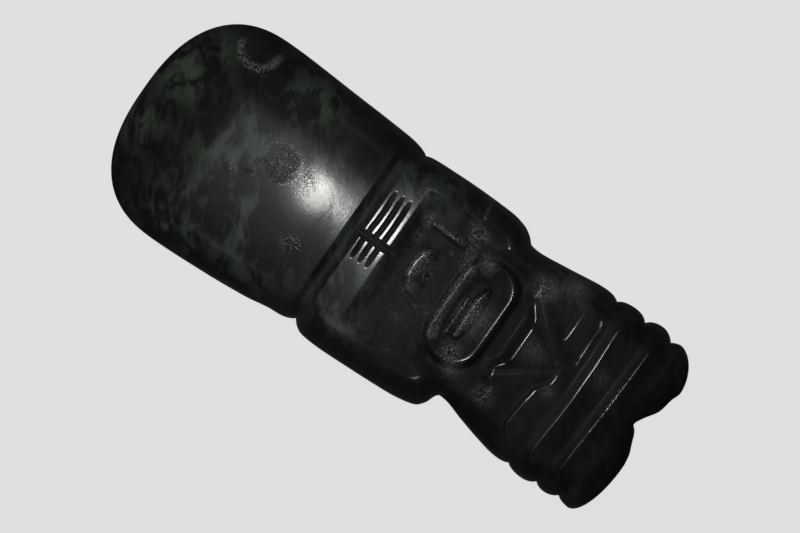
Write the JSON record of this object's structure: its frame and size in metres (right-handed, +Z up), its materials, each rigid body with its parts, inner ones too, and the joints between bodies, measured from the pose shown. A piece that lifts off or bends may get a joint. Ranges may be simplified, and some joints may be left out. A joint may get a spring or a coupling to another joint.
{
  "type": "jadeite axe head",
  "caption": "Polished stone axe head with a rounded bit, its butt carved as a cleft-headed figure with a banded brow, ring mouth and belt.",
  "frame": {"origin": "on the ground, under the middle of the outline, with the axe head lying on its back", "axes": "+Y runs to the figure's cleft head and -Y to the cutting edge, +Z is up out of the carved face"},
  "size_m": [0.0778, 0.2, 0.034],
  "materials": {
    "jadeite": "polished, with rough pits"
  },
  "bodies": {
    "root": {"axe_head": "jadeite"}
  },
  "joints": []
}
